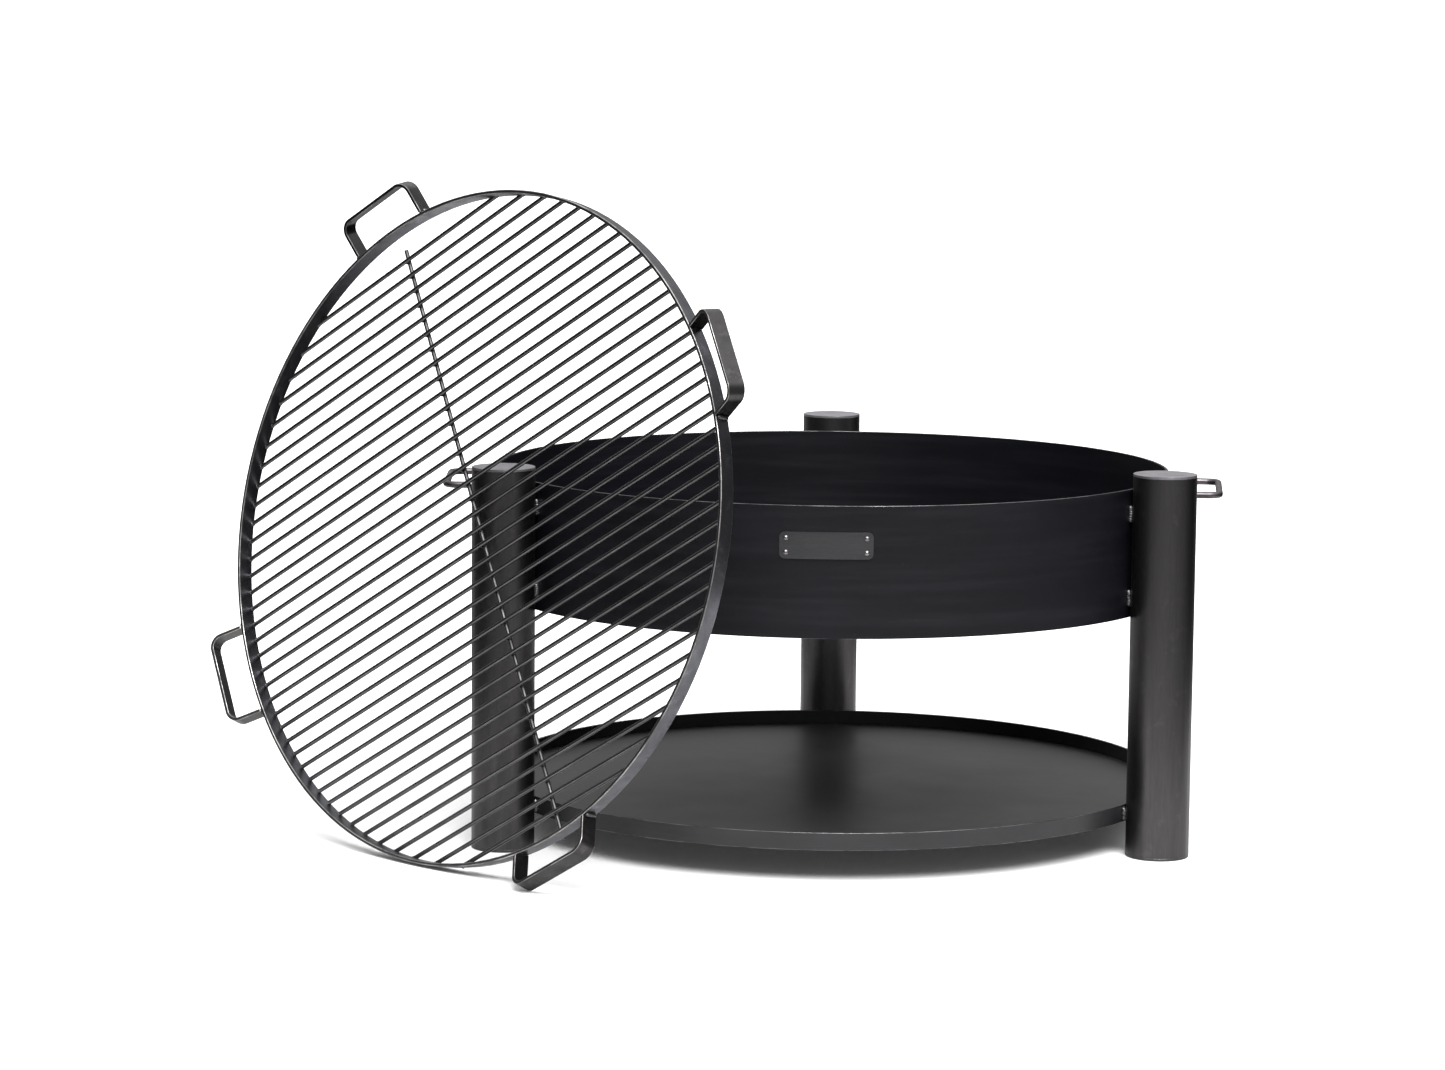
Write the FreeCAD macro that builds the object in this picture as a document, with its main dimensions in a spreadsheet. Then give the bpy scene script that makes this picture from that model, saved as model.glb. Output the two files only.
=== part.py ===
import FreeCAD, Part
import math
import os
import Sketcher

# Fire pit: an open round fire bowl and a round wood shelf, both welded to three tubular legs, with a
# round grate that leans on the top edge of the front left leg.
# Frame: origin on the floor, in the middle of the whole set's footprint with the grate leaning at its
# left, +Z up, front of the pit towards -Y, millimetres.

DIMENSIONS = {
    # Where the pit's upright axis stands.
    "pit_x": 139.2,
    "pit_y": 33.8,
    # Fire bowl: a rolled band with a plate inside its lower edge.
    "bowl_diameter": 800,
    "bowl_sheet": 3,
    "bowl_height": 148,
    "rim_level": 424,
    "hearth_rise": 4,
    "hearth_sheet": 3,
    # Legs: round tubes that touch the outside of the bowl and of the shelf.
    "leg_diameter": 73,
    "leg_wall": 3,
    "leg_height": 443,
    "leg_end_sheet": 3,
    # Wood shelf: a rolled rim with a plate flush with its lower edge.
    "shelf_level": 38,
    "shelf_rim_height": 20,
    "shelf_sheet": 3,
    # Side handles: round rod bent to a U.
    "side_rod_diameter": 8,
    "side_handle_span": 140,
    "side_handle_reach": 59,
    "side_handle_foot": 15,
    "side_handle_bend": 14,
    "side_handle_drop": 18,
    "side_handle_left_heading": 182.3,
    "side_handle_right_heading": -4.7,
    "side_weld_radius": 8,
    "side_weld_lip": 0.5,
    "side_weld_length": 8,
    "side_weld_sink": 7,
    # Nameplate: a blank curved plate with four rivets, a little left of the middle of the front.
    "nameplate_width": 104,
    "nameplate_height": 30,
    "nameplate_sheet": 2,
    "nameplate_corner": 6,
    "nameplate_drop": 29,
    "nameplate_turn": -1.2,
    "rivet_span": 90,
    "rivet_rise": 16,
    "rivet_head_radius": 3.5,
    "rivet_head_sink": 1.8,
    "rivet_shank_diameter": 3,
    "rivet_hole_diameter": 3.2,
    "rivet_hole_depth": 20,
    "rivet_tail": 1.5,
    # Weld beads in the grooves between the legs and the bowl, and the legs and the shelf.
    "bead_radius": 4,
    "bead_length": 20,
    "bead_side_step": 14,
    "bead_out_step": 1.3,
    "upper_bead_drop": 28,
    "lower_bead_drop": 125,
    "shelf_bead_length": 16,
    # Grate: a hoop of flat bar, thin bars across it and one cross rod under them.
    "hoop_diameter": 772,
    "hoop_width": 20,
    "hoop_sheet": 4,
    "bar_diameter": 5,
    "bar_pitch": 19.54,
    "bar_shift": -2,
    "cross_rod_top": 365,
    "grip_span": 109,
    "grip_reach": 46,
    "grip_foot": 10,
    "grip_bend": 14,
    "grip_width": 20,
    "grip_sheet": 4,
    "grip_tilt": 22.5,
    "grip_bead_radius": 3,
    "grip_bead_length": 16,
    # How the grate leans: the way it faces, its lean from upright, its turn in its own plane, how far
    # its middle stands to one side of the leg it leans on, and how far that leg's edge reaches in
    # between two bars, which leaves 0.3 mm of air there.
    "lean_heading": 41.5,
    "lean_angle": 12,
    "lean_turn": 31.8,
    "lean_side_step": 10.6,
    "lean_dip": 0.75,
}

BAR_COUNT = 37
LEG_ANGLES = {"front_left": 210, "front_right": 330, "back": 90}
GRIP_ANGLES = {"top": 0, "left": 90, "bottom": 180, "right": 270}

X_AXIS = FreeCAD.Vector(1, 0, 0)
Y_AXIS = FreeCAD.Vector(0, 1, 0)
Z_AXIS = FreeCAD.Vector(0, 0, 1)

doc = FreeCAD.newDocument("fire_pit")
sheet = doc.addObject("Spreadsheet::Sheet", "dimensions")
for row, (alias, number) in enumerate(DIMENSIONS.items(), start=1):
    sheet.set(f"A{row}", alias)
    sheet.set(f"B{row}", str(number))
    sheet.setAlias(f"B{row}", alias)
doc.recompute()

nodes = []


def size(alias):
    """The number in the sheet's cell of that name."""
    return float(sheet.get(alias))


def bind(thing, **expressions):
    """Binds properties of an object to formulas of the sheet's names."""
    for name, formula in expressions.items():
        words = [f"dimensions.{word}" if word in DIMENSIONS else word for word in formula.split()]
        thing.setExpression(name.replace("__", "."), " ".join(words))
    return thing


def primitive(kind, name, place=None, **expressions):
    """A Part primitive whose sizes are formulas of the sheet's names."""
    solid = doc.addObject(f"Part::{kind}", name)
    if place is not None:
        solid.Placement = place
    return bind(solid, **expressions)


def boolean(kind, name, base, tool):
    """A Part boolean of two objects."""
    result = doc.addObject(f"Part::{kind}", name)
    result.Base = base
    result.Tool = tool
    return result


def group(name, members):
    """Separate solids kept together in one compound."""
    result = doc.addObject("Part::Compound", name)
    result.Links = members
    return result


def node(thing, label, place=None):
    """Names a finished sub-part and puts it in its place."""
    thing.Label = label
    if place is not None:
        thing.Placement = place
    nodes.append(thing)
    return thing


def origin_plane(body, role):
    """One of a body's own origin planes."""
    return next(plane for plane in body.Origin.OriginFeatures if plane.Role == role)


def sketch_on(body, role, name):
    """An empty sketch on one of a body's own origin planes."""
    sketch = body.newObject("Sketcher::SketchObject", name)
    sketch.AttachmentSupport = [(origin_plane(body, role), "")]
    sketch.MapMode = "FlatFace"
    return sketch


def constrain(sketch, name, formula, kind, *where):
    """A sketch dimension bound to a formula of the sheet's names."""
    index = sketch.addConstraint(Sketcher.Constraint(kind, *where))
    sketch.renameConstraint(index, name)
    bind(sketch, **{f"Constraints__{name}": formula})


def circle_in(sketch, name, formula, radius):
    """A circle about the sketch's origin with its radius bound to the sheet."""
    index = sketch.addGeometry(Part.Circle(FreeCAD.Vector(0, 0, 0), Z_AXIS, radius))
    sketch.addConstraint(Sketcher.Constraint("Coincident", index, 3, -1, 1))
    constrain(sketch, name, formula, "Radius", index, radius)


def rectangle(sketch, middle, wide, high):
    """Four lines about a point of the sketch's X axis, with their sizes still to be bound."""
    left, right, top = middle - wide / 2, middle + wide / 2, high / 2
    corners = [(left, -top), (right, -top), (right, top), (left, top)]
    points = [FreeCAD.Vector(x, y, 0) for x, y in corners]
    for index in range(4):
        sketch.addGeometry(Part.LineSegment(points[index], points[(index + 1) % 4]))
    for index in range(4):
        sketch.addConstraint(Sketcher.Constraint("Coincident", index, 2, (index + 1) % 4, 1))
    sketch.addConstraint(Sketcher.Constraint("Horizontal", 0))
    sketch.addConstraint(Sketcher.Constraint("Horizontal", 2))
    sketch.addConstraint(Sketcher.Constraint("Vertical", 3))
    sketch.addConstraint(Sketcher.Constraint("Symmetric", 1, 1, 1, 2, -1))


def padded_disc(name, length, **radii):
    """A body padded from one circle, or from two circles where it is a ring or a tube."""
    body = doc.addObject("PartDesign::Body", name)
    sketch = sketch_on(body, "XY_Plane", f"{name}_section")
    for first_radius, (side, formula) in zip((2, 1), radii.items()):
        circle_in(sketch, side, formula, first_radius)
    pad = body.newObject("PartDesign::Pad", f"{name}_pad")
    pad.Profile = sketch
    bind(pad, Length=length)
    return body


def u_path(body, name, prefix):
    """A U from the X axis out along +Y and back, with rounded corners, as an open sketch."""
    half, turn = size(f"{prefix}_span") / 2, size(f"{prefix}_bend")
    far = size(f"{prefix}_reach") + size(f"{prefix}_foot")
    corner = far - turn
    ends = {
        "left": (FreeCAD.Vector(-half, 0, 0), FreeCAD.Vector(-half, corner, 0)),
        "across": (FreeCAD.Vector(turn - half, far, 0), FreeCAD.Vector(half - turn, far, 0)),
        "right": (FreeCAD.Vector(half, corner, 0), FreeCAD.Vector(half, 0, 0)),
    }
    near_circle = Part.Circle(FreeCAD.Vector(turn - half, corner, 0), Z_AXIS, turn)
    far_circle = Part.Circle(FreeCAD.Vector(half - turn, corner, 0), Z_AXIS, turn)
    path = sketch_on(body, "XY_Plane", f"{name}_path")
    left = path.addGeometry(Part.LineSegment(*ends["left"]))
    near_bend = path.addGeometry(Part.ArcOfCircle(near_circle, math.pi / 2, math.pi))
    across = path.addGeometry(Part.LineSegment(*ends["across"]))
    far_bend = path.addGeometry(Part.ArcOfCircle(far_circle, 0, math.pi / 2))
    right = path.addGeometry(Part.LineSegment(*ends["right"]))
    path.addConstraint(Sketcher.Constraint("Tangent", left, 2, near_bend, 2))
    path.addConstraint(Sketcher.Constraint("Tangent", near_bend, 1, across, 1))
    path.addConstraint(Sketcher.Constraint("Tangent", across, 2, far_bend, 2))
    path.addConstraint(Sketcher.Constraint("Tangent", far_bend, 1, right, 1))
    path.addConstraint(Sketcher.Constraint("Vertical", left))
    path.addConstraint(Sketcher.Constraint("Vertical", right))
    path.addConstraint(Sketcher.Constraint("Horizontal", across))
    path.addConstraint(Sketcher.Constraint("Equal", near_bend, far_bend))
    path.addConstraint(Sketcher.Constraint("PointOnObject", left, 1, -1))
    path.addConstraint(Sketcher.Constraint("Symmetric", left, 1, right, 2, -1, 1))
    constrain(path, "span", f"{prefix}_span", "DistanceX", left, 1, right, 2, 2 * half)
    constrain(path, "reach", f"{prefix}_reach + {prefix}_foot", "DistanceY", left, 1, across, 1, far)
    constrain(path, "bend", f"{prefix}_bend", "Radius", near_bend, turn)
    return path


def bent_handle(name, prefix, draw_section):
    """A body swept along a U; draw_section draws the section at the U's left foot."""
    body = doc.addObject("PartDesign::Body", name)
    path = u_path(body, name, prefix)
    section = sketch_on(body, "XZ_Plane", f"{name}_section")
    draw_section(section)
    pipe = body.newObject("PartDesign::AdditivePipe", f"{name}_pipe")
    pipe.Profile = section
    pipe.Spine = (path, [f"Edge{index + 1}" for index in range(5)])
    return body


def round_section(section):
    """The side handle's rod."""
    half, radius = size("side_handle_span") / 2, size("side_rod_diameter") / 2
    index = section.addGeometry(Part.Circle(FreeCAD.Vector(-half, 0, 0), Z_AXIS, radius))
    section.addConstraint(Sketcher.Constraint("PointOnObject", index, 3, -1))
    constrain(section, "middle", "side_handle_span / 2", "DistanceX", index, 3, -1, 1, half)
    constrain(section, "rod", "side_rod_diameter / 2", "Radius", index, radius)


def flat_section(section):
    """The grate handle's flat bar, its width square to the U."""
    half, thick, wide = size("grip_span") / 2, size("grip_sheet"), size("grip_width")
    rectangle(section, -half, thick, wide)
    constrain(section, "width", "grip_width", "DistanceY", 1, 1, 1, 2, wide)
    constrain(section, "sheet", "grip_sheet", "DistanceX", 0, 1, 0, 2, thick)
    constrain(section, "edge", "( grip_span - grip_sheet ) / 2", "DistanceX", 0, 2, -1, 1, half - thick / 2)


def spin(axis, degrees):
    """A turn about an axis through the origin."""
    return FreeCAD.Placement(FreeCAD.Vector(0, 0, 0), FreeCAD.Rotation(axis, degrees))


def shift(x, y, z):
    """A move without a turn."""
    return FreeCAD.Placement(FreeCAD.Vector(x, y, z), FreeCAD.Rotation())


def about_axis(degrees, radius, level):
    """A place at that angle, radius and level about the pit's axis, with its X axis pointing outwards."""
    return shift(size("pit_x"), size("pit_y"), 0) * spin(Z_AXIS, degrees) * shift(radius, 0, level)


def on_axis(level):
    """A place at that level on the pit's axis."""
    return about_axis(0, 0, level)


def outward(degrees, radius, level):
    """The same place with its Z axis pointing outwards."""
    return about_axis(degrees, radius, level) * spin(Y_AXIS, 90)


bowl_radius = size("bowl_diameter") / 2
leg_distance = (size("bowl_diameter") + size("leg_diameter")) / 2
bowl_level = size("rim_level") - size("bowl_height")

# The four rivets of the nameplate, and the holes for them in the plate and the wall.
nameplate_angle = 270 + size("nameplate_turn")
nameplate_level = size("rim_level") - size("nameplate_drop") - size("nameplate_height") / 2
face_radius = bowl_radius + size("nameplate_sheet")
rivet_step = math.degrees(size("rivet_span") / 2 / face_radius)
rivet_start = bowl_radius - size("bowl_sheet") - size("rivet_tail")
rivets = []
rivet_holes = []
for number, (side, up) in enumerate([(-1, 1), (1, 1), (-1, -1), (1, -1)], start=1):
    angle = nameplate_angle + side * rivet_step
    level = nameplate_level + up * size("rivet_rise") / 2
    shank = primitive(
        "Cylinder",
        f"rivet_shank_{number}",
        outward(angle, rivet_start, level),
        Radius="rivet_shank_diameter / 2",
        Height="nameplate_sheet + bowl_sheet + rivet_tail",
    )
    head = primitive(
        "Sphere",
        f"rivet_head_{number}",
        outward(angle, face_radius - size("rivet_head_sink"), level),
        Radius="rivet_head_radius",
        Angle1="asin( rivet_head_sink / rivet_head_radius )",
    )
    hole = primitive(
        "Cylinder",
        f"rivet_hole_{number}",
        outward(angle, bowl_radius - size("rivet_hole_depth") / 2, level),
        Radius="rivet_hole_diameter / 2",
        Height="rivet_hole_depth",
    )
    rivets.append(boolean("Fuse", f"rivet_{number}", shank, head))
    rivet_holes.append(hole)
rivet_hole_group = group("rivet_holes", rivet_holes)
node(group("rivet_group", rivets), "nameplate_rivets")

# Bowl: the wall, with the rivets' holes, and the hearth plate inside it.
wall_blank = padded_disc(
    "wall_blank",
    "bowl_height",
    outer="bowl_diameter / 2",
    inner="bowl_diameter / 2 - bowl_sheet",
)
wall_blank.Placement = on_axis(bowl_level)
node(boolean("Cut", "drilled_wall", wall_blank, rivet_hole_group), "bowl_wall")
hearth = padded_disc("hearth", "hearth_sheet", outer="bowl_diameter / 2 - bowl_sheet")
node(hearth, "bowl_floor", on_axis(bowl_level + size("hearth_rise")))

# Nameplate: the part of a thin ring round the bowl that a round-cornered blank covers.
blank = doc.addObject("PartDesign::Body", "plate_blank")
outline = sketch_on(blank, "XY_Plane", "plate_outline")
plate_height, plate_width = size("nameplate_height"), size("nameplate_width")
rectangle(outline, 0, plate_height, plate_width)
constrain(outline, "height", "nameplate_height", "DistanceX", 0, 1, 0, 2, plate_height)
constrain(outline, "width", "nameplate_width", "DistanceY", 1, 1, 1, 2, plate_width)
constrain(outline, "edge", "nameplate_height / 2", "DistanceX", -1, 1, 0, 2, plate_height / 2)
blank_pad = blank.newObject("PartDesign::Pad", "plate_pad")
blank_pad.Profile = outline
bind(blank_pad, Length="bowl_diameter / 20")
doc.recompute()
rounding = blank.newObject("PartDesign::Fillet", "plate_corners")
upright = [
    f"Edge{index}"
    for index, edge in enumerate(blank_pad.Shape.Edges, start=1)
    if abs(edge.tangentAt(edge.FirstParameter).z) > 0.9
]
rounding.Base = (blank_pad, upright)
bind(rounding, Radius="nameplate_corner")
blank.Placement = outward(nameplate_angle, bowl_radius - size("bowl_diameter") / 40, nameplate_level)
plate_ring = padded_disc(
    "plate_ring",
    "bowl_height",
    outer="bowl_diameter / 2 + nameplate_sheet",
    inner="bowl_diameter / 2",
)
plate_ring.Placement = on_axis(bowl_level)
plate = boolean("Common", "curved_plate", plate_ring, blank)
node(boolean("Cut", "drilled_plate", plate, rivet_hole_group), "nameplate")

# Legs: three tubes, each closed by a plate at its top and at its foot.
caps = []
feet = []
for place_name, angle in LEG_ANGLES.items():
    tube = padded_disc(
        f"tube_{place_name}",
        "leg_height - 2 * leg_end_sheet",
        outer="leg_diameter / 2",
        inner="leg_diameter / 2 - leg_wall",
    )
    node(tube, f"leg_{place_name}", about_axis(angle, leg_distance, size("leg_end_sheet")))
    for ends, name, level in (
        (caps, "cap", size("leg_height") - size("leg_end_sheet")),
        (feet, "foot", 0),
    ):
        ends.append(
            primitive(
                "Cylinder",
                f"{name}_{place_name}",
                about_axis(angle, leg_distance, level),
                Radius="leg_diameter / 2",
                Height="leg_end_sheet",
            )
        )
node(group("cap_group", caps), "leg_caps")
node(group("foot_group", feet), "leg_base_plates")

# Wood shelf: the rim and the plate inside it.
shelf_band = padded_disc(
    "shelf_band",
    "shelf_rim_height",
    outer="bowl_diameter / 2",
    inner="bowl_diameter / 2 - shelf_sheet",
)
node(shelf_band, "shelf_rim", on_axis(size("shelf_level")))
shelf_disc = padded_disc("shelf_disc", "shelf_sheet", outer="bowl_diameter / 2 - shelf_sheet")
node(shelf_disc, "shelf_plate", on_axis(size("shelf_level")))

# Outlines that the handles and the weld beads are cut back to.
bowl_outline = primitive(
    "Cylinder",
    "bowl_outline",
    on_axis(0),
    Radius="bowl_diameter / 2",
    Height="leg_height",
)
leg_outlines = group(
    "leg_outlines",
    [
        primitive(
            "Cylinder",
            f"outline_{place_name}",
            about_axis(angle, leg_distance, 0),
            Radius="leg_diameter / 2",
            Height="leg_height",
        )
        for place_name, angle in LEG_ANGLES.items()
    ],
)

# Side handles: each U lies level with its feet cut to the wall, and has a weld collar round each foot.
handle_level = size("rim_level") - size("side_handle_drop")
rod_start = bowl_radius - size("side_handle_foot")
collar_start = bowl_radius - size("side_weld_sink")
rods = []
collars = []
for side in ("left", "right"):
    angle = size(f"side_handle_{side}_heading")
    rod = bent_handle(f"rod_{side}", "side_handle", round_section)
    rod.Placement = about_axis(angle, rod_start, handle_level) * spin(Z_AXIS, -90)
    rods.append(rod)
    node(boolean("Cut", f"trimmed_rod_{side}", rod, bowl_outline), f"side_handle_{side}")
    for end, across in (("near", -0.5), ("far", 0.5)):
        foot = outward(angle, collar_start, handle_level) * shift(0, across * size("side_handle_span"), 0)
        collars.append(
            primitive(
                "Cone",
                f"collar_{side}_{end}",
                foot,
                Radius1="side_weld_radius",
                Radius2="side_rod_diameter / 2 + side_weld_lip",
                Height="side_weld_length",
            )
        )
outer_collars = boolean("Cut", "outer_collars", group("collars", collars), bowl_outline)
node(boolean("Cut", "drilled_collars", outer_collars, group("rod_pair", rods)), "side_handle_welds")


def groove_bead(name, angle, side, level, length):
    """An upright bead in one of the two grooves where a leg touches the round wall."""
    touching_line = about_axis(angle, bowl_radius, level)
    groove = shift(size("bead_out_step"), side * size("bead_side_step"), 0)
    return primitive("Cylinder", name, touching_line * groove, Radius="bead_radius", Height=length)


def trimmed_beads(label, beads):
    """A node of beads, cut back to the bowl's and the legs' outlines."""
    off_bowl = boolean("Cut", f"{label}_off_bowl", group(f"{label}_rods", beads), bowl_outline)
    return node(boolean("Cut", f"{label}_off_legs", off_bowl, leg_outlines), label)


# Weld beads: an upper and a lower one in each groove of the bowl, and one in each groove of the shelf.
upper_bead = size("rim_level") - size("upper_bead_drop") - size("bead_length") / 2
lower_bead = size("rim_level") - size("lower_bead_drop") - size("bead_length") / 2
shelf_bead = size("shelf_level") + (size("shelf_rim_height") - size("shelf_bead_length")) / 2
bowl_beads = []
shelf_beads = []
for place_name, angle in LEG_ANGLES.items():
    for side_name, side in (("right", -1), ("left", 1)):
        ending = f"{place_name}_{side_name}"
        bowl_beads.append(groove_bead(f"upper_{ending}", angle, side, upper_bead, "bead_length"))
        bowl_beads.append(groove_bead(f"lower_{ending}", angle, side, lower_bead, "bead_length"))
        shelf_beads.append(groove_bead(f"shelf_{ending}", angle, side, shelf_bead, "shelf_bead_length"))
trimmed_beads("bowl_leg_welds", bowl_beads)
trimmed_beads("shelf_leg_welds", shelf_beads)

# Grate: drawn flat about its hoop's middle, with its top side towards +Z and its bars along X, and then
# leaned. The hoop stands on the floor and the undersides of its bars lie against the leg's top edge.
hoop_radius = size("hoop_diameter") / 2
half_hoop = size("hoop_width") / 2
lean_slope = math.radians(size("lean_angle"))
heading = math.radians(size("lean_heading"))
forwards = FreeCAD.Vector(-math.sin(heading), -math.cos(heading), 0)
sideways = FreeCAD.Vector(math.cos(heading), -math.sin(heading), 0)
grate_level = hoop_radius * math.cos(lean_slope) + half_hoop * math.sin(lean_slope)
grate_reach = size("leg_diameter") / 2 + (half_hoop - size("lean_dip")) / math.cos(lean_slope)
grate_reach += (size("leg_height") - grate_level) * math.tan(lean_slope)
leg_middle = about_axis(LEG_ANGLES["front_left"], leg_distance, grate_level).Base
lean = (
    spin(Z_AXIS, -size("lean_heading"))
    * spin(X_AXIS, 90 - size("lean_angle"))
    * spin(Z_AXIS, size("lean_turn"))
)
lean.Base = leg_middle + forwards * grate_reach + sideways * size("lean_side_step")

hoop = padded_disc("hoop", "hoop_width", outer="hoop_diameter / 2", inner="hoop_diameter / 2 - hoop_sheet")
node(hoop, "grate_hoop", lean * shift(0, 0, -half_hoop))

# Bars: each a rod right across, cut to the inside of the hoop, flush with the hoop's under edge.
hoop_inside = primitive(
    "Cylinder",
    "hoop_inside",
    shift(0, 0, -2 * half_hoop),
    Radius="hoop_diameter / 2 - hoop_sheet",
    Height="2 * hoop_width",
)
for number in range(1, BAR_COUNT + 1):
    steps_up = (BAR_COUNT + 1) // 2 - number
    middle = size("bar_shift") + steps_up * size("bar_pitch")
    bar = primitive(
        "Cylinder",
        f"bar_{number:02d}",
        shift(-hoop_radius, middle, size("bar_diameter") / 2 - half_hoop) * spin(Y_AXIS, 90),
        Radius="bar_diameter / 2",
        Height="hoop_diameter",
    )
    node(boolean("Common", f"cut_bar_{number:02d}", bar, hoop_inside), f"grate_bar_{number:02d}", lean)

# Cross rod: under the bars, from the hoop's edge to just past the first bar.
cross_rod = primitive(
    "Cylinder",
    "cross_rod",
    Radius="bar_diameter / 2",
    Height="hoop_diameter / 2 + cross_rod_top",
)
cross_start = shift(0, -hoop_radius, -half_hoop - size("bar_diameter") / 2)
node(cross_rod, "grate_cross_rod", lean * cross_start * spin(X_AXIS, -90))

# Grate handles: flat bar bent to a U, tilted towards the top side, with the feet cut to the hoop and a
# weld bead along the outside of each foot.
hoop_outline = primitive(
    "Cylinder",
    "hoop_outline",
    shift(0, 0, -2 * half_hoop),
    Radius="hoop_diameter / 2",
    Height="2 * hoop_width",
)
outer_half = (size("grip_span") + size("grip_sheet")) / 2
foot_line = math.sqrt(hoop_radius**2 - outer_half**2)
grips = []
grip_beads = []
for side, angle in GRIP_ANGLES.items():
    grip = bent_handle(f"grip_{side}", "grip", flat_section)
    tilt = spin(X_AXIS, size("grip_tilt"))
    grip.Placement = spin(Z_AXIS, angle) * shift(0, foot_line, 0) * tilt * shift(0, -size("grip_foot"), 0)
    grips.append(grip)
    node(boolean("Cut", f"trimmed_grip_{side}", grip, hoop_outline), f"grate_handle_{side}", lean)
    for end, across in (("first", -1), ("last", 1)):
        foot = shift(across * outer_half, foot_line, -size("grip_bead_length") / 2)
        grip_beads.append(
            primitive(
                "Cylinder",
                f"bead_{side}_{end}",
                spin(Z_AXIS, angle) * foot,
                Radius="grip_bead_radius",
                Height="grip_bead_length",
            )
        )
beads_off_hoop = boolean("Cut", "beads_off_hoop", group("grip_beads", grip_beads), hoop_outline)
beads_off_grips = boolean("Cut", "beads_off_grips", beads_off_hoop, group("grip_set", grips))
node(beads_off_grips, "grate_handle_welds", lean)

doc.recompute()
for thing in doc.Objects:
    faults = {"Invalid", "Error"} & set(thing.State)
    if faults:
        raise RuntimeError(f"{thing.Label}: {sorted(faults)}")
for thing in nodes:
    if thing.Shape.isNull() or not thing.Shape.isValid():
        raise RuntimeError(f"{thing.Label}: bad shape")

os.makedirs("parts", exist_ok=True)
for thing in nodes:
    thing.Shape.exportStep(f"parts/{thing.Label}.step")
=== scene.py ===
import math
import random

import bmesh
import bpy
from mathutils import Matrix, Vector

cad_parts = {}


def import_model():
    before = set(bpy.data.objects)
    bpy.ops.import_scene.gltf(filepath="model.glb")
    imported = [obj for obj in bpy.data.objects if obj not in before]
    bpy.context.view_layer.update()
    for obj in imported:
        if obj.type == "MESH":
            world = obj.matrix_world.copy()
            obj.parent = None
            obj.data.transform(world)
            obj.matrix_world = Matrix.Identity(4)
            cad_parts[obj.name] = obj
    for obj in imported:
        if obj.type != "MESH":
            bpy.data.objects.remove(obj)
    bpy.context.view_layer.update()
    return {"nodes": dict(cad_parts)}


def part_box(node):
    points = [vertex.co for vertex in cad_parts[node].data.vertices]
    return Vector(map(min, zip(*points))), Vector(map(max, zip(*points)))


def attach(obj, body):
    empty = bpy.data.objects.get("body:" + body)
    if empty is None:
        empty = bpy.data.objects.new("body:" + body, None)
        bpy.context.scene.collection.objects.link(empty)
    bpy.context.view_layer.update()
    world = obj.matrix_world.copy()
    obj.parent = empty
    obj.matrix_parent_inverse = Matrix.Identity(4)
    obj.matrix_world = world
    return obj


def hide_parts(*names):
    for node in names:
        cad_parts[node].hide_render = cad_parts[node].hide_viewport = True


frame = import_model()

# A fire pit with its grate leaning on one leg: the imported CAD model carries the shapes, and this script
# adds rounded edges (worn, and on the nameplate painted dark as a shadow outline), rippled welds, finishes,
# a floor, lights and a camera. Metres, in the CAD's frame.

scene = bpy.context.scene
nodes = frame["nodes"]
chance = random.Random(11)

# Camera: where it stands and how it is turned, from the pit's axis.
CAMERA_FROM_AXIS = (-0.0272, -4.8693, 0.9708)
CAMERA_YAW = math.radians(-1.226)
CAMERA_PITCH = math.radians(7.397)
CAMERA_ROLL = math.radians(0.521)
CAMERA_LENS = 102.0
SENSOR_WIDTH = 36.0

# Rounded edges: how wide each node's edges are rounded (worn, and on the nameplate a painted shadow
# outline), and from which angle on an edge counts.
EDGE_WIDTHS = {
    "bowl_wall": 0.0007,
    "leg_caps": 0.0009,
    "leg_base_plates": 0.0006,
    "shelf_rim": 0.0005,
    "nameplate": 0.0009,
    "grate_hoop": 0.001,
    "grate_handle_top": 0.0007,
    "grate_handle_left": 0.0007,
    "grate_handle_bottom": 0.0007,
    "grate_handle_right": 0.0007,
    "grate_cross_rod": 0.0006,
}
EDGE_ANGLE = math.radians(32)
EDGE_SEGMENTS = 3

# Points closer than this are one point: a CAD mesh is split along its sharp edges.
SAME_POINT = 0.00001

# Weld beads: their radii, the pitch and depth of their ripples, how unevenly they were laid, and how many
# points make a ring and a ripple.
STAND_BEAD_RADIUS = 0.0042
GRATE_BEAD_RADIUS = 0.0026
COLLAR_BEAD_RADIUS = 0.0016
RIPPLE_PITCH = 0.0021
RIPPLE_DEPTH = 0.17
RIPPLE_UNEVENNESS = 0.025
RIPPLE_LEAN = 0.064
BEAD_WANDER = 0.00025
BEAD_SIDES = 14
STEPS_PER_RIPPLE = 4
FEWEST_STEPS = 6
THINNEST_END = 0.02

# Tacks on the grate: at the bars' ends, and beside each bar where the cross rod lies on it.
BAR_RADIUS = 0.0025
TACK_RADIUS = 0.0031
TACK_FLATNESS = 0.85
TACK_INSET = 0.0012
CROSS_TACK_RADIUS = 0.0026
CROSS_TACK_FLATNESS = 0.7
TACK_UNEVENNESS = 0.09
ROD_END_SLACK = 0.001

# Studio floor, the sheet of paper that gloss sees, and the backdrop: sizes and how white each is.
FLOOR_RADIUS, FLOOR_WHITE, FLOOR_GLOW = 90.0, 0.92, 0.03
PAPER_RADIUS, PAPER_HEIGHT, PAPER_WHITE = 1.1, 0.0002, 0.66
BACKDROP_RADIUS, BACKDROP_GLOW = 85.0, 1.1
BACKDROP_DIP = 0.02

# Light from all round, by direction: a glow from the front and a little to one side, a weaker one from
# behind, and a ceiling. Each pair says where the light starts and where it is full.
SIDE_LEAN = 0.3
GLOW_FROM, GLOW_TO = -0.05, 1.0
ROOM_DARK, GLOW_FRONT = 0.02, 0.38
BEHIND_FROM, GLOW_BEHIND = 0.45, 0.34
CEILING_FROM, CEILING_TO = 0.3, 0.85
CEILING = 1.6

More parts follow.
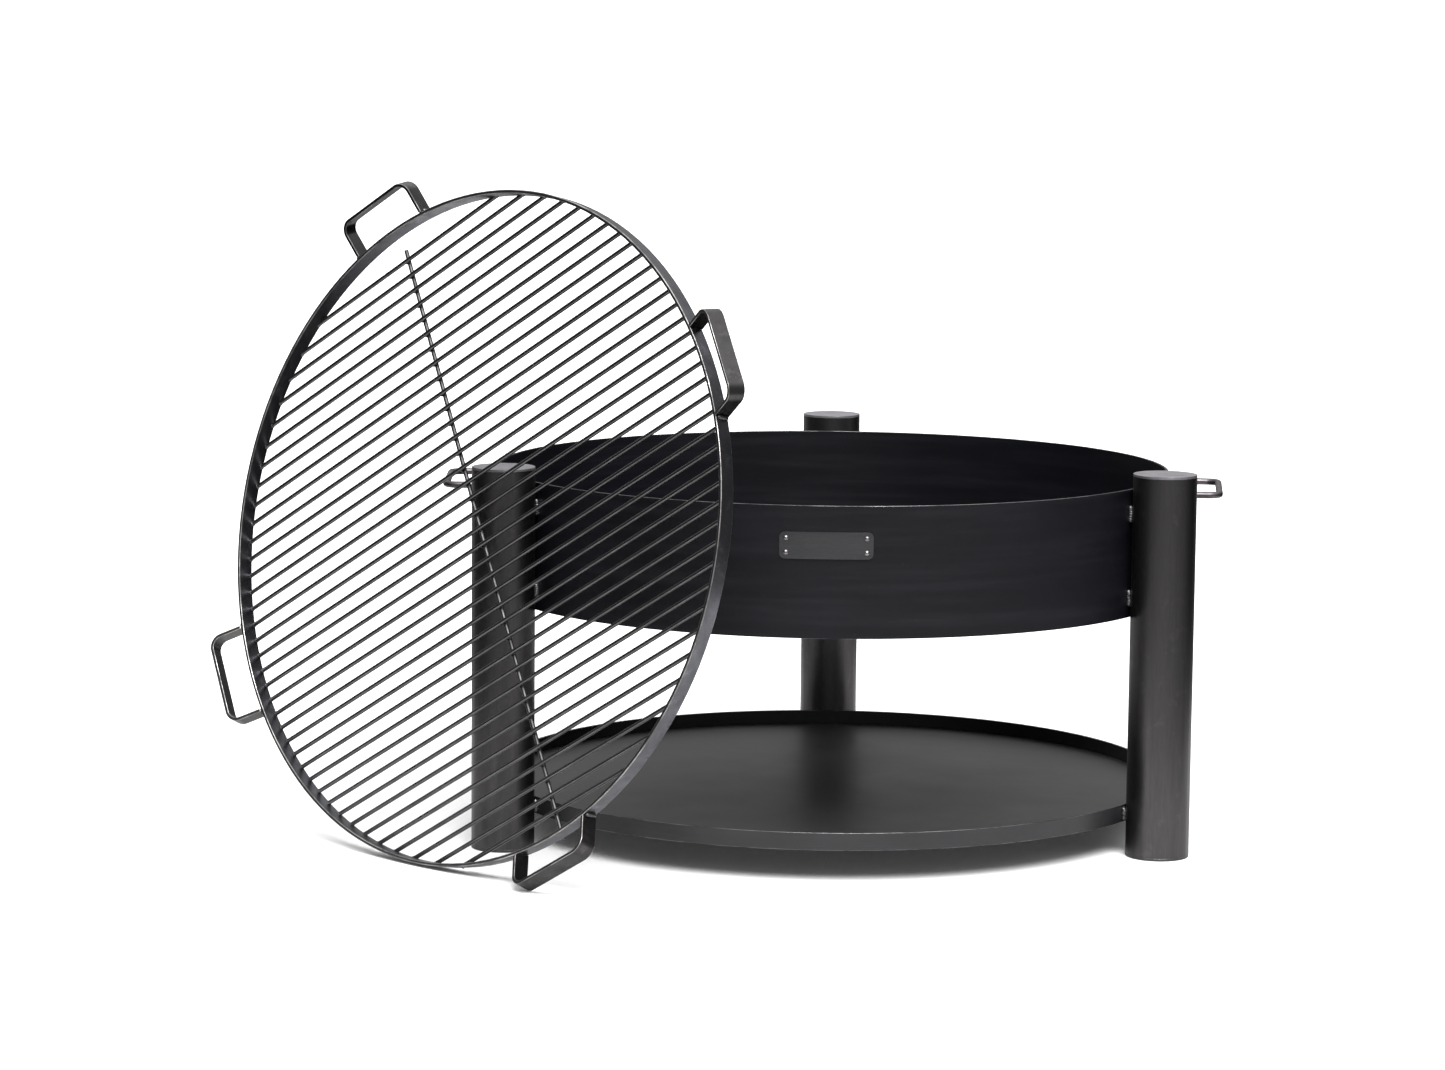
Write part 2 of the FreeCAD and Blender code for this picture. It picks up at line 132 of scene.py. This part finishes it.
# One large soft lamp from the front, above the camera.
SUN_STRENGTH = 4.0
SUN_ANGLE = math.radians(34)
SUN_DIRECTION = (-0.15, 0.8, -1)


def pit_axis():
    """The upright axis of the bowl, as a point on the floor."""
    low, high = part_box("bowl_wall")
    return Vector(((low.x + high.x) / 2, (low.y + high.y) / 2, 0))


AXIS = pit_axis()


# ---------------------------------------------------------------- materials


class Finish:
    """A node material with a Principled shader, object coordinates and a few short-hands."""

    def __init__(self, name, metallic, roughness, colour, specular=0.5):
        self.material = bpy.data.materials.new(name)
        self.material.use_nodes = True
        self.tree = self.material.node_tree
        self.shader = self.tree.nodes["Principled BSDF"]
        self.set(self.shader, Metallic=metallic, Roughness=roughness)
        self.shader.inputs["Base Color"].default_value = (*colour, 1)
        self.shader.inputs["Specular IOR Level"].default_value = specular
        self.place = self.add("ShaderNodeTexCoord").outputs["Object"]

    def add(self, kind, **values):
        made = self.tree.nodes.new(kind)
        self.set(made, **values)
        return made

    def set(self, made, **values):
        for name, value in values.items():
            made.inputs[name.replace("_", " ")].default_value = value

    def join(self, source, target):
        self.tree.links.new(source, target)

    def noise(self, scale, detail, roughness, stretch=(1, 1, 1)):
        """Noise in the object's own coordinates; stretch scales it along each axis."""
        mapping = self.add("ShaderNodeMapping", Scale=stretch)
        self.join(self.place, mapping.inputs["Vector"])
        made = self.add("ShaderNodeTexNoise", Scale=scale, Detail=detail, Roughness=roughness)
        self.join(mapping.outputs["Vector"], made.inputs["Vector"])
        return made.outputs["Fac"]

    def ramp(self, source, low, high, out_low, out_high):
        """Maps a value's range onto another range."""
        made = self.tree.nodes.new("ShaderNodeMapRange")
        self.set(made, **{"From Min": low, "From Max": high, "To Min": out_low, "To Max": out_high})
        self.join(source, made.inputs["Value"])
        return made.outputs["Result"]

    def blend(self, factor, first, second):
        """Mixes two colours, each a plain colour or another node's output."""
        made = self.tree.nodes.new("ShaderNodeMix")
        made.data_type = "RGBA"
        self.join(factor, made.inputs["Factor"])
        for socket, value in (("A", first), ("B", second)):
            target = next(s for s in made.inputs if s.name == socket and s.type == "RGBA")
            if isinstance(value, tuple):
                target.default_value = (*value, 1)
            else:
                self.join(value, target)
        return next(s for s in made.outputs if s.type == "RGBA")

    def colour(self, source):
        self.join(source, self.shader.inputs["Base Color"])

    def roughness(self, source):
        self.join(source, self.shader.inputs["Roughness"])

    def bump(self, source, height, strength):
        """Adds a bump of that height in metres on top of any bump there is."""
        made = self.add("ShaderNodeBump", Strength=strength, Distance=height)
        self.join(source, made.inputs["Height"])
        normal = self.shader.inputs["Normal"]
        if normal.is_linked:
            self.join(normal.links[0].from_socket, made.inputs["Normal"])
        self.join(made.outputs["Normal"], normal)


def painted_steel(name, tint, light, roughness, specular=0.5):
    """Satin black paint on rolled sheet: slow clouds, faint level streaks, dust and an eggshell grain."""
    dust_grey = (0.05, 0.05, 0.05)
    finish = Finish(name, 0.0, roughness, tint, specular)
    clouds = finish.noise(7.0, 6.0, 0.6)
    streaks = finish.noise(9.0, 5.0, 0.62, (0.5, 0.5, 9.0))
    dust = finish.noise(210.0, 3.0, 0.7)
    dark = tuple(0.6 * v for v in tint)
    base = finish.blend(finish.ramp(clouds, 0.36, 0.66, 0, 1), dark, tint)
    base = finish.blend(finish.ramp(streaks, 0.48, 0.74, 0, 0.5), base, light)
    finish.colour(finish.blend(finish.ramp(dust, 0.68, 0.84, 0, 0.4), base, dust_grey))
    finish.roughness(finish.ramp(streaks, 0.3, 0.72, roughness - 0.03, roughness + 0.06))
    finish.bump(finish.noise(900.0, 2.0, 0.6), 0.00004, 0.5)
    finish.bump(finish.noise(34.0, 2.0, 0.5), 0.0006, 0.12)
    return finish.material


def scaled_steel(name, colour, roughness, stretch, rubbed, bare=1.5, lumps=0.16):
    """Hot rolled steel with its dark mill scale: mottled bands along the rolling direction, rubbed towards
    bare metal in patches (how often, and how much lighter), with a pitted grain and low lumps."""
    finish = Finish(name, 1.0, roughness, colour)
    bands = finish.noise(34.0, 6.0, 0.66, stretch)
    spots = finish.noise(48.0, 5.0, 0.7)
    fine = finish.noise(620.0, 3.0, 0.65, stretch)
    dark = tuple(0.62 * v for v in colour)
    light = tuple(bare * v for v in colour)
    base = finish.blend(finish.ramp(bands, 0.34, 0.68, 0, 1), dark, colour)
    base = finish.blend(finish.ramp(spots, 0.56, 0.76, 0, rubbed), base, light)
    finish.colour(finish.blend(finish.ramp(fine, 0.3, 0.5, 0.35, 0), base, dark))
    finish.roughness(finish.ramp(bands, 0.3, 0.72, roughness + 0.07, roughness - 0.07))
    finish.bump(fine, 0.00006, 2.5 * lumps)
    finish.bump(finish.noise(70.0, 3.0, 0.6), 0.0004, lumps)
    return finish.material


def bright_steel(name, colour, roughness):
    """Bare steel: fine specks, faint smears and uneven gloss."""
    finish = Finish(name, 1.0, roughness, colour)
    smears = finish.noise(45.0, 5.0, 0.6)
    specks = finish.noise(520.0, 3.0, 0.6)
    shaded = tuple(0.6 * v for v in colour)
    base = finish.blend(finish.ramp(smears, 0.38, 0.66, 0, 1), shaded, colour)
    finish.colour(finish.blend(finish.ramp(specks, 0.3, 0.5, 0.4, 0), base, shaded))
    finish.roughness(finish.ramp(smears, 0.3, 0.72, roughness + 0.1, roughness - 0.05))
    finish.bump(specks, 0.00005, 0.4)
    return finish.material


def worn_and_shaded_edge(name, bare, scale):
    """A rounded edge in two colours mottled by noise: on most nodes the black worn to bare metal in some
    stretches and not in others; on the nameplate two near-black tones, a painted shadow outline.
    """
    finish = Finish(name, 1.0, 0.34, bare)
    wear = finish.noise(26.0, 6.0, 0.7)
    finish.colour(finish.blend(finish.ramp(wear, 0.42, 0.62, 0, 1), scale, bare))
    finish.roughness(finish.ramp(wear, 0.4, 0.65, 0.46, 0.28))
    finish.bump(finish.noise(800.0, 3.0, 0.6), 0.00006, 0.4)
    return finish.material


bowl_black = painted_steel("bowl_black", (0.0036, 0.0036, 0.006), (0.0085, 0.0086, 0.0125), 0.38, 0.35)
shelf_black = painted_steel("shelf_black", (0.017, 0.0168, 0.0185), (0.03, 0.0296, 0.031), 0.36)
leg_steel = scaled_steel("leg_steel", (0.112, 0.1065, 0.109), 0.36, (1, 1, 0.07), 0.35)
# The leg caps are the legs' black steel made about three times lighter: a painted reflection of the bright
# background on their tops.
cap_steel_painted_reflection = scaled_steel("cap_steel_painted_reflection", (0.36, 0.345, 0.37), 0.56, (1, 1, 1), 0.3)
hoop_steel = scaled_steel("hoop_steel", (0.165, 0.166, 0.182), 0.34, (1, 1, 1), 0.6, 2.0)
grip_steel = scaled_steel("grip_steel", (0.085, 0.082, 0.082), 0.33, (1, 1, 1), 0.4, 2.6, 0.08)
bar_steel = scaled_steel("bar_steel", (0.16, 0.158, 0.16), 0.3, (1, 1, 1), 0.3, 1.5, 0.03)
rod_steel = scaled_steel("rod_steel", (0.09, 0.09, 0.092), 0.42, (1, 1, 1), 0.5, 2.0, 0.08)
handle_steel = bright_steel("handle_steel", (0.17, 0.155, 0.165), 0.38)
rivet_steel = bright_steel("rivet_steel", (0.36, 0.335, 0.35), 0.27)
plate_steel = scaled_steel("plate_steel", (0.115, 0.115, 0.12), 0.45, (0.2, 0.2, 2.0), 0.3)
weld_steel = bright_steel("weld_steel", (0.17, 0.166, 0.17), 0.36)
bare_edge = worn_and_shaded_edge("bare_edge", (0.52, 0.5, 0.485), (0.15, 0.15, 0.15))
black_edge = worn_and_shaded_edge("black_edge", (0.3, 0.3, 0.3), (0.07, 0.07, 0.075))
# The nameplate's rounded rim in near-black, darker than the plate: a painted shadow outline where the plate
# meets the bowl.
plate_painted_shadow_edge = worn_and_shaded_edge("plate_painted_shadow_edge", (0.04, 0.04, 0.04), (0.012, 0.012, 0.013))

FINISHES = {
    "bowl_": bowl_black,
    "leg_": leg_steel,
    "shelf_": shelf_black,
    "grate_": hoop_steel,
    "grate_handle_": grip_steel,
    "grate_bar": bar_steel,
    "grate_cross": rod_steel,
    "side_handle_": handle_steel,
    "nameplate": plate_steel,
    "nameplate_rivets": rivet_steel,
    "leg_caps": cap_steel_painted_reflection,
}
for name, piece in nodes.items():
    fitting = [prefix for prefix in FINISHES if name.startswith(prefix)]
    piece.data.materials.clear()
    piece.data.materials.append(FINISHES[max(fitting, key=len)])


# ---------------------------------------------------------------- worn edges


# By the first word of the node's name; black_edge for the rest. The nameplate's edge finish is a painted
# shadow outline.
EDGES = {"grate": bare_edge, "nameplate": plate_painted_shadow_edge}


def round_edges(name, width):
    """Rounds a node's sharp edges and gives the rounding an edge finish: a worn edge on most nodes, a
    painted shadow outline on the nameplate.
    """
    piece = nodes[name]
    piece.data.materials.append(EDGES.get(name.split("_")[0], black_edge))
    joined = piece.modifiers.new("joined", "WELD")
    joined.merge_threshold = SAME_POINT
    bevel = piece.modifiers.new("edges", "BEVEL")
    bevel.width = width
    bevel.segments = EDGE_SEGMENTS
    bevel.limit_method = "ANGLE"
    bevel.angle_limit = EDGE_ANGLE
    bevel.material = 1
    bevel.use_clamp_overlap = True
    bevel.loop_slide = False
    shaded = piece.modifiers.new("shading", "WEIGHTED_NORMAL")
    shaded.keep_sharp = False


for name, width in EDGE_WIDTHS.items():
    round_edges(name, width)


# ---------------------------------------------------------------- welds


def new_piece(name, mesh_data, body, material):
    """Links a finished bmesh as a smooth piece that rides on a body."""
    mesh = bpy.data.meshes.new(name)
    bmesh.ops.recalc_face_normals(mesh_data, faces=mesh_data.faces)
    mesh_data.to_mesh(mesh)
    mesh_data.free()
    mesh.shade_smooth()
    mesh.materials.append(material)
    piece = bpy.data.objects.new(name, mesh)
    scene.collection.objects.link(piece)
    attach(piece, body)
    return piece


def islands(name):
    """The separate solids of a node, each as a list of points."""
    mesh = bmesh.new()
    mesh.from_mesh(nodes[name].data)
    bmesh.ops.remove_doubles(mesh, verts=mesh.verts, dist=SAME_POINT)
    left, found = set(mesh.verts), []
    while left:
        start = min(left, key=lambda vert: vert.index)
        left.discard(start)
        group, queue = [], [start]
        while queue:
            vert = queue.pop()
            group.append(vert.co.copy())
            for edge in vert.link_edges:
                other = edge.other_vert(vert)
                if other in left:
                    left.discard(other)
                    queue.append(other)
        found.append(group)
    mesh.free()
    return found


def frame_of(line):
    """Two directions square to a line."""
    side = line.cross(Vector((0, 0, 1)))
    if side.length < 0.2:
        side = line.cross(Vector((0, 1, 0)))
    side.normalize()
    return side, line.cross(side).normalized()


def bead(mesh, points, radius, closed=False):
    """A rippled weld bead along a row of points: overlapping scales, with rounded ends."""
    rings = []
    count = len(points)
    walked = 0.0
    total = sum((b - a).length for a, b in zip(points, points[1:]))
    for k, point in enumerate(points):
        before = points[k - 1] if k or closed else point
        after = points[(k + 1) % count] if k < count - 1 or closed else point
        line = (after - before).normalized()
        side, up = frame_of(line)
        if k:
            walked += (point - points[k - 1]).length
        phase = (walked / RIPPLE_PITCH) % 1.0
        uneven = chance.uniform(-RIPPLE_UNEVENNESS, RIPPLE_UNEVENNESS)
        reach = radius * (1.0 - RIPPLE_DEPTH * phase**2 + uneven)
        if not closed:
            end = min(walked, total - walked) / radius
            reach *= math.sqrt(max(THINNEST_END, 1 - max(0.0, 1 - end) ** 2))
        ring = []
        for turn in range(BEAD_SIDES):
            angle = 2 * math.pi * turn / BEAD_SIDES
            spot = point + side * reach * math.cos(angle) + up * reach * math.sin(angle)
            ring.append(mesh.verts.new(spot + line * RIPPLE_LEAN * radius * math.cos(angle)))
        rings.append(ring)
    pairs = list(zip(rings, rings[1:])) + ([(rings[-1], rings[0])] if closed else [])
    for first, second in pairs:
        for turn in range(BEAD_SIDES):
            after = (turn + 1) % BEAD_SIDES
            mesh.faces.new((first[turn], first[after], second[after], second[turn]))
    if not closed:
        mesh.faces.new(rings[0])
        mesh.faces.new(reversed(rings[-1]))


def long_axis(points):
    """The middle of a cloud of points, its longest direction and its half length."""
    middle = sum(points, Vector()) / len(points)
    farthest = max(points, key=lambda p: (p - middle).length) - middle
    line = farthest.normalized()
    for _ in range(24):
        pull = sum(((p - middle).dot(line) * (p - middle) for p in points), Vector())
        line = pull.normalized()
    along = [(p - middle).dot(line) for p in points]
    middle = middle + line * (max(along) + min(along)) / 2
    half = (max(along) - min(along)) / 2
    return middle, line, half


def straight_welds(name, body, radius):
    """Replaces a node of straight beads by rippled ones."""
    mesh = bmesh.new()
    for group in islands(name):
        middle, line, half = long_axis(group)
        if line.z < 0:
            line = -line
        steps = max(FEWEST_STEPS, int(2 * half / RIPPLE_PITCH * STEPS_PER_RIPPLE))
        points = [middle + line * half * (2 * k / steps - 1) for k in range(steps + 1)]
        for k, point in enumerate(points):
            wander = BEAD_WANDER * math.sin(9.0 * k / steps + chance.random())
            points[k] = point + frame_of(line)[0] * wander
        bead(mesh, points, radius)
    piece = new_piece(name + "_rippled", mesh, body, weld_steel)
    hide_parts(name)


def collar_welds(name, body, radius):
    """Replaces a node of weld collars round the feet of the side handles by rippled rings."""
    mesh = bmesh.new()
    for group in islands(name):
        low = Vector([min(p[i] for p in group) for i in range(3)])
        high = Vector([max(p[i] for p in group) for i in range(3)])
        middle = (low + high) / 2
        out = Vector((middle.x - AXIS.x, middle.y - AXIS.y, 0)).normalized()
        up = Vector((0, 0, 1))
        side = out.cross(up)
        ring = (high.z - low.z) / 2 - radius
        steps = int(2 * math.pi * ring / RIPPLE_PITCH * STEPS_PER_RIPPLE)
        points = []
        for k in range(steps):
            angle = 2 * math.pi * k / steps
            points.append(middle + ring * (side * math.cos(angle) + up * math.sin(angle)))
        bead(mesh, points, radius, closed=True)
    piece = new_piece(name + "_rippled", mesh, body, weld_steel)
    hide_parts(name)


def tack(mesh, centre, radius, flat, direction):
    """A small uneven blob of weld metal, flattened along a direction."""
    made = bmesh.ops.create_icosphere(mesh, subdivisions=2, radius=radius)
    squeeze = Matrix.Scale(flat, 3, direction)
    for vert in made["verts"]:
        swell = 1 + chance.uniform(-TACK_UNEVENNESS, TACK_UNEVENNESS)
        vert.co = centre + squeeze @ (vert.co * swell)


def bar_line(name):
    """The middle line of a bar: its two ends."""
    points = [vert.co.copy() for vert in nodes[name].data.vertices]
    middle, line, half = long_axis(points)
    return middle - line * half, middle + line * half


def grate_tacks():
    """The tack at each end of each bar, and a tack on both sides of each bar where the cross rod lies."""
    bars = [name for name in nodes if name.startswith("grate_bar_")]
    rod_start, rod_end = bar_line("grate_cross_rod")
    rod = (rod_end - rod_start).normalized()
    ends, crossings = bmesh.new(), bmesh.new()
    for name in bars:
        start, end = bar_line(name)
        line = (end - start).normalized()
        tack(ends, start + line * TACK_INSET, TACK_RADIUS, TACK_FLATNESS, line)
        tack(ends, end - line * TACK_INSET, TACK_RADIUS, TACK_FLATNESS, line)
        # Where the rod passes: the closest points of the two lines.
        across = line.cross(rod).normalized()
        gap = rod_start - start
        along = gap.dot(rod.cross(across)) / line.dot(rod.cross(across))
        nearest = start + line * along
        to_rod = across * gap.dot(across)
        if not 0 < along < (end - start).length:
            continue
        reach = (nearest + to_rod - rod_start).dot(rod)
        if not -ROD_END_SLACK < reach < (rod_end - rod_start).length + ROD_END_SLACK:
            continue
        for way in (-1, 1):
            spot = nearest + to_rod * 0.5 + line * way * BAR_RADIUS * 0.9
            tack(crossings, spot, CROSS_TACK_RADIUS, CROSS_TACK_FLATNESS, line)
    new_piece("bar_end_tacks", ends, "grate", weld_steel)
    new_piece("cross_rod_tacks", crossings, "grate", weld_steel)


straight_welds("bowl_leg_welds", "stand", STAND_BEAD_RADIUS)
straight_welds("shelf_leg_welds", "stand", STAND_BEAD_RADIUS)
straight_welds("grate_handle_welds", "grate", GRATE_BEAD_RADIUS)
collar_welds("side_handle_welds", "stand", COLLAR_BEAD_RADIUS)
grate_tacks()


# ---------------------------------------------------------------- floor, lights, camera


def stage_piece(name, points, faces, material, seen_by):
    """A part of the studio, seen only by the named kinds of light ray."""
    mesh = bpy.data.meshes.new(name)
    mesh.from_pydata(points, [], faces)
    mesh.materials.append(material)
    piece = bpy.data.objects.new(name, mesh)
    scene.collection.objects.link(piece)
    for kind in ("camera", "diffuse", "glossy", "transmission", "volume_scatter", "shadow"):
        setattr(piece, "visible_" + kind, kind in seen_by)


def disc(radius, height, sides=96):
    """A level disc round the pit's axis."""
    points = []
    for k in range(sides):
        angle = 2 * math.pi * k / sides
        points.append((AXIS.x + radius * math.cos(angle), AXIS.y + radius * math.sin(angle), height))
    return points, [tuple(range(sides))]


def dome(radius, rows=12, sides=48):
    """A half sphere over the studio floor."""
    points, faces = [], []
    for row in range(rows + 1):
        rise = math.pi / 2 * row / rows - BACKDROP_DIP
        for k in range(sides):
            turn = 2 * math.pi * k / sides
            reach = radius * math.cos(rise)
            points.append((reach * math.cos(turn), reach * math.sin(turn), radius * math.sin(rise)))
    for row in range(rows):
        for k in range(sides):
            after = (k + 1) % sides
            here, above = row * sides, (row + 1) * sides
            faces.append((here + k, here + after, above + after, above + k))
    return points, faces


def studio_white(name, white, glow):
    """A surface without gloss that may also glow; the same all over."""
    made = bpy.data.materials.new(name)
    made.use_nodes = True
    shader = made.node_tree.nodes["Principled BSDF"]
    shader.inputs["Base Color"].default_value = (white, white, white, 1)
    shader.inputs["Roughness"].default_value = 1.0
    shader.inputs["Specular IOR Level"].default_value = 0.0
    shader.inputs["Emission Color"].default_value = (1, 1, 1, 1)
    shader.inputs["Emission Strength"].default_value = glow
    return made


def studio():
    """A wide pale floor and backdrop. Gloss sees only a sheet of white paper round the object, and past it
    the darker room, as in a photo studio."""
    floor_white = studio_white("floor_white", FLOOR_WHITE, FLOOR_GLOW)
    paper_white = studio_white("paper_white", PAPER_WHITE, 0.0)
    backdrop_white = studio_white("backdrop_white", 0.0, BACKDROP_GLOW)
    seen_as_floor = ("camera", "diffuse", "shadow", "transmission")
    stage_piece("floor", *disc(FLOOR_RADIUS, 0.0), floor_white, seen_as_floor)
    stage_piece("paper", *disc(PAPER_RADIUS, PAPER_HEIGHT), paper_white, ("glossy",))
    stage_piece("backdrop", *dome(BACKDROP_RADIUS), backdrop_white, ("camera",))


def world():
    """Light from all round, stronger or weaker by direction: front glow, back glow and a soft ceiling."""
    made = bpy.data.worlds.new("studio")
    scene.world = made
    made.use_nodes = True
    tree = made.node_tree
    background = tree.nodes["Background"]

    def value_range(source, low, high, out_low, out_high):
        step = tree.nodes.new("ShaderNodeMapRange")
        step.interpolation_type = "SMOOTHSTEP"
        limits = {"From Min": low, "From Max": high, "To Min": out_low, "To Max": out_high}
        for key, number in limits.items():
            step.inputs[key].default_value = number
        tree.links.new(source, step.inputs["Value"])
        return step.outputs["Result"]

    def combine(kind, first, second):
        step = tree.nodes.new("ShaderNodeMath")
        step.operation = kind
        for socket, item in zip(step.inputs, (first, second)):
            if isinstance(item, (int, float)):
                socket.default_value = item
            else:
                tree.links.new(item, socket)
        return step.outputs[0]

    split = tree.nodes.new("ShaderNodeSeparateXYZ")
    tree.links.new(tree.nodes.new("ShaderNodeTexCoord").outputs["Generated"], split.inputs[0])
    side, back, up = split.outputs[0], split.outputs[1], split.outputs[2]
    frontward = combine("SUBTRACT", combine("MULTIPLY", side, SIDE_LEAN), back)
    backward = combine("SUBTRACT", 0.0, frontward)
    glow = value_range(frontward, GLOW_FROM, GLOW_TO, ROOM_DARK, GLOW_FRONT)
    behind = value_range(backward, BEHIND_FROM, GLOW_TO, 0.0, GLOW_BEHIND)
    ceiling = value_range(up, CEILING_FROM, CEILING_TO, 0.0, CEILING)
    around = combine("ADD", glow, behind)
    tree.links.new(combine("ADD", around, ceiling), background.inputs["Strength"])
    background.inputs["Color"].default_value = (1.0, 1.0, 1.0, 1)


def sun():
    data = bpy.data.lights.new("sun", "SUN")
    data.energy = SUN_STRENGTH
    data.angle = SUN_ANGLE
    light = bpy.data.objects.new("sun", data)
    light.rotation_euler = Vector(SUN_DIRECTION).to_track_quat("-Z", "Y").to_euler()
    scene.collection.objects.link(light)


def camera():
    """The camera of the main view: forward from its yaw and pitch, then rolled about that line."""
    forward = Vector(
        (
            math.sin(CAMERA_YAW) * math.cos(CAMERA_PITCH),
            math.cos(CAMERA_YAW) * math.cos(CAMERA_PITCH),
            -math.sin(CAMERA_PITCH),
        )
    )
    level = Vector((math.cos(CAMERA_YAW), -math.sin(CAMERA_YAW), 0))
    upward = level.cross(forward)
    right = math.cos(CAMERA_ROLL) * level + math.sin(CAMERA_ROLL) * upward
    top = math.cos(CAMERA_ROLL) * upward - math.sin(CAMERA_ROLL) * level
    turn = Matrix((right, top, -forward)).transposed()
    data = bpy.data.cameras.new("camera")
    data.lens = CAMERA_LENS
    data.sensor_width = SENSOR_WIDTH
    data.clip_end = 300
    made = bpy.data.objects.new("camera", data)
    made.matrix_world = Matrix.Translation(AXIS + Vector(CAMERA_FROM_AXIS)) @ turn.to_4x4()
    scene.collection.objects.link(made)
    scene.camera = made


studio()
world()
sun()
camera()
scene.view_settings.view_transform = "Standard"
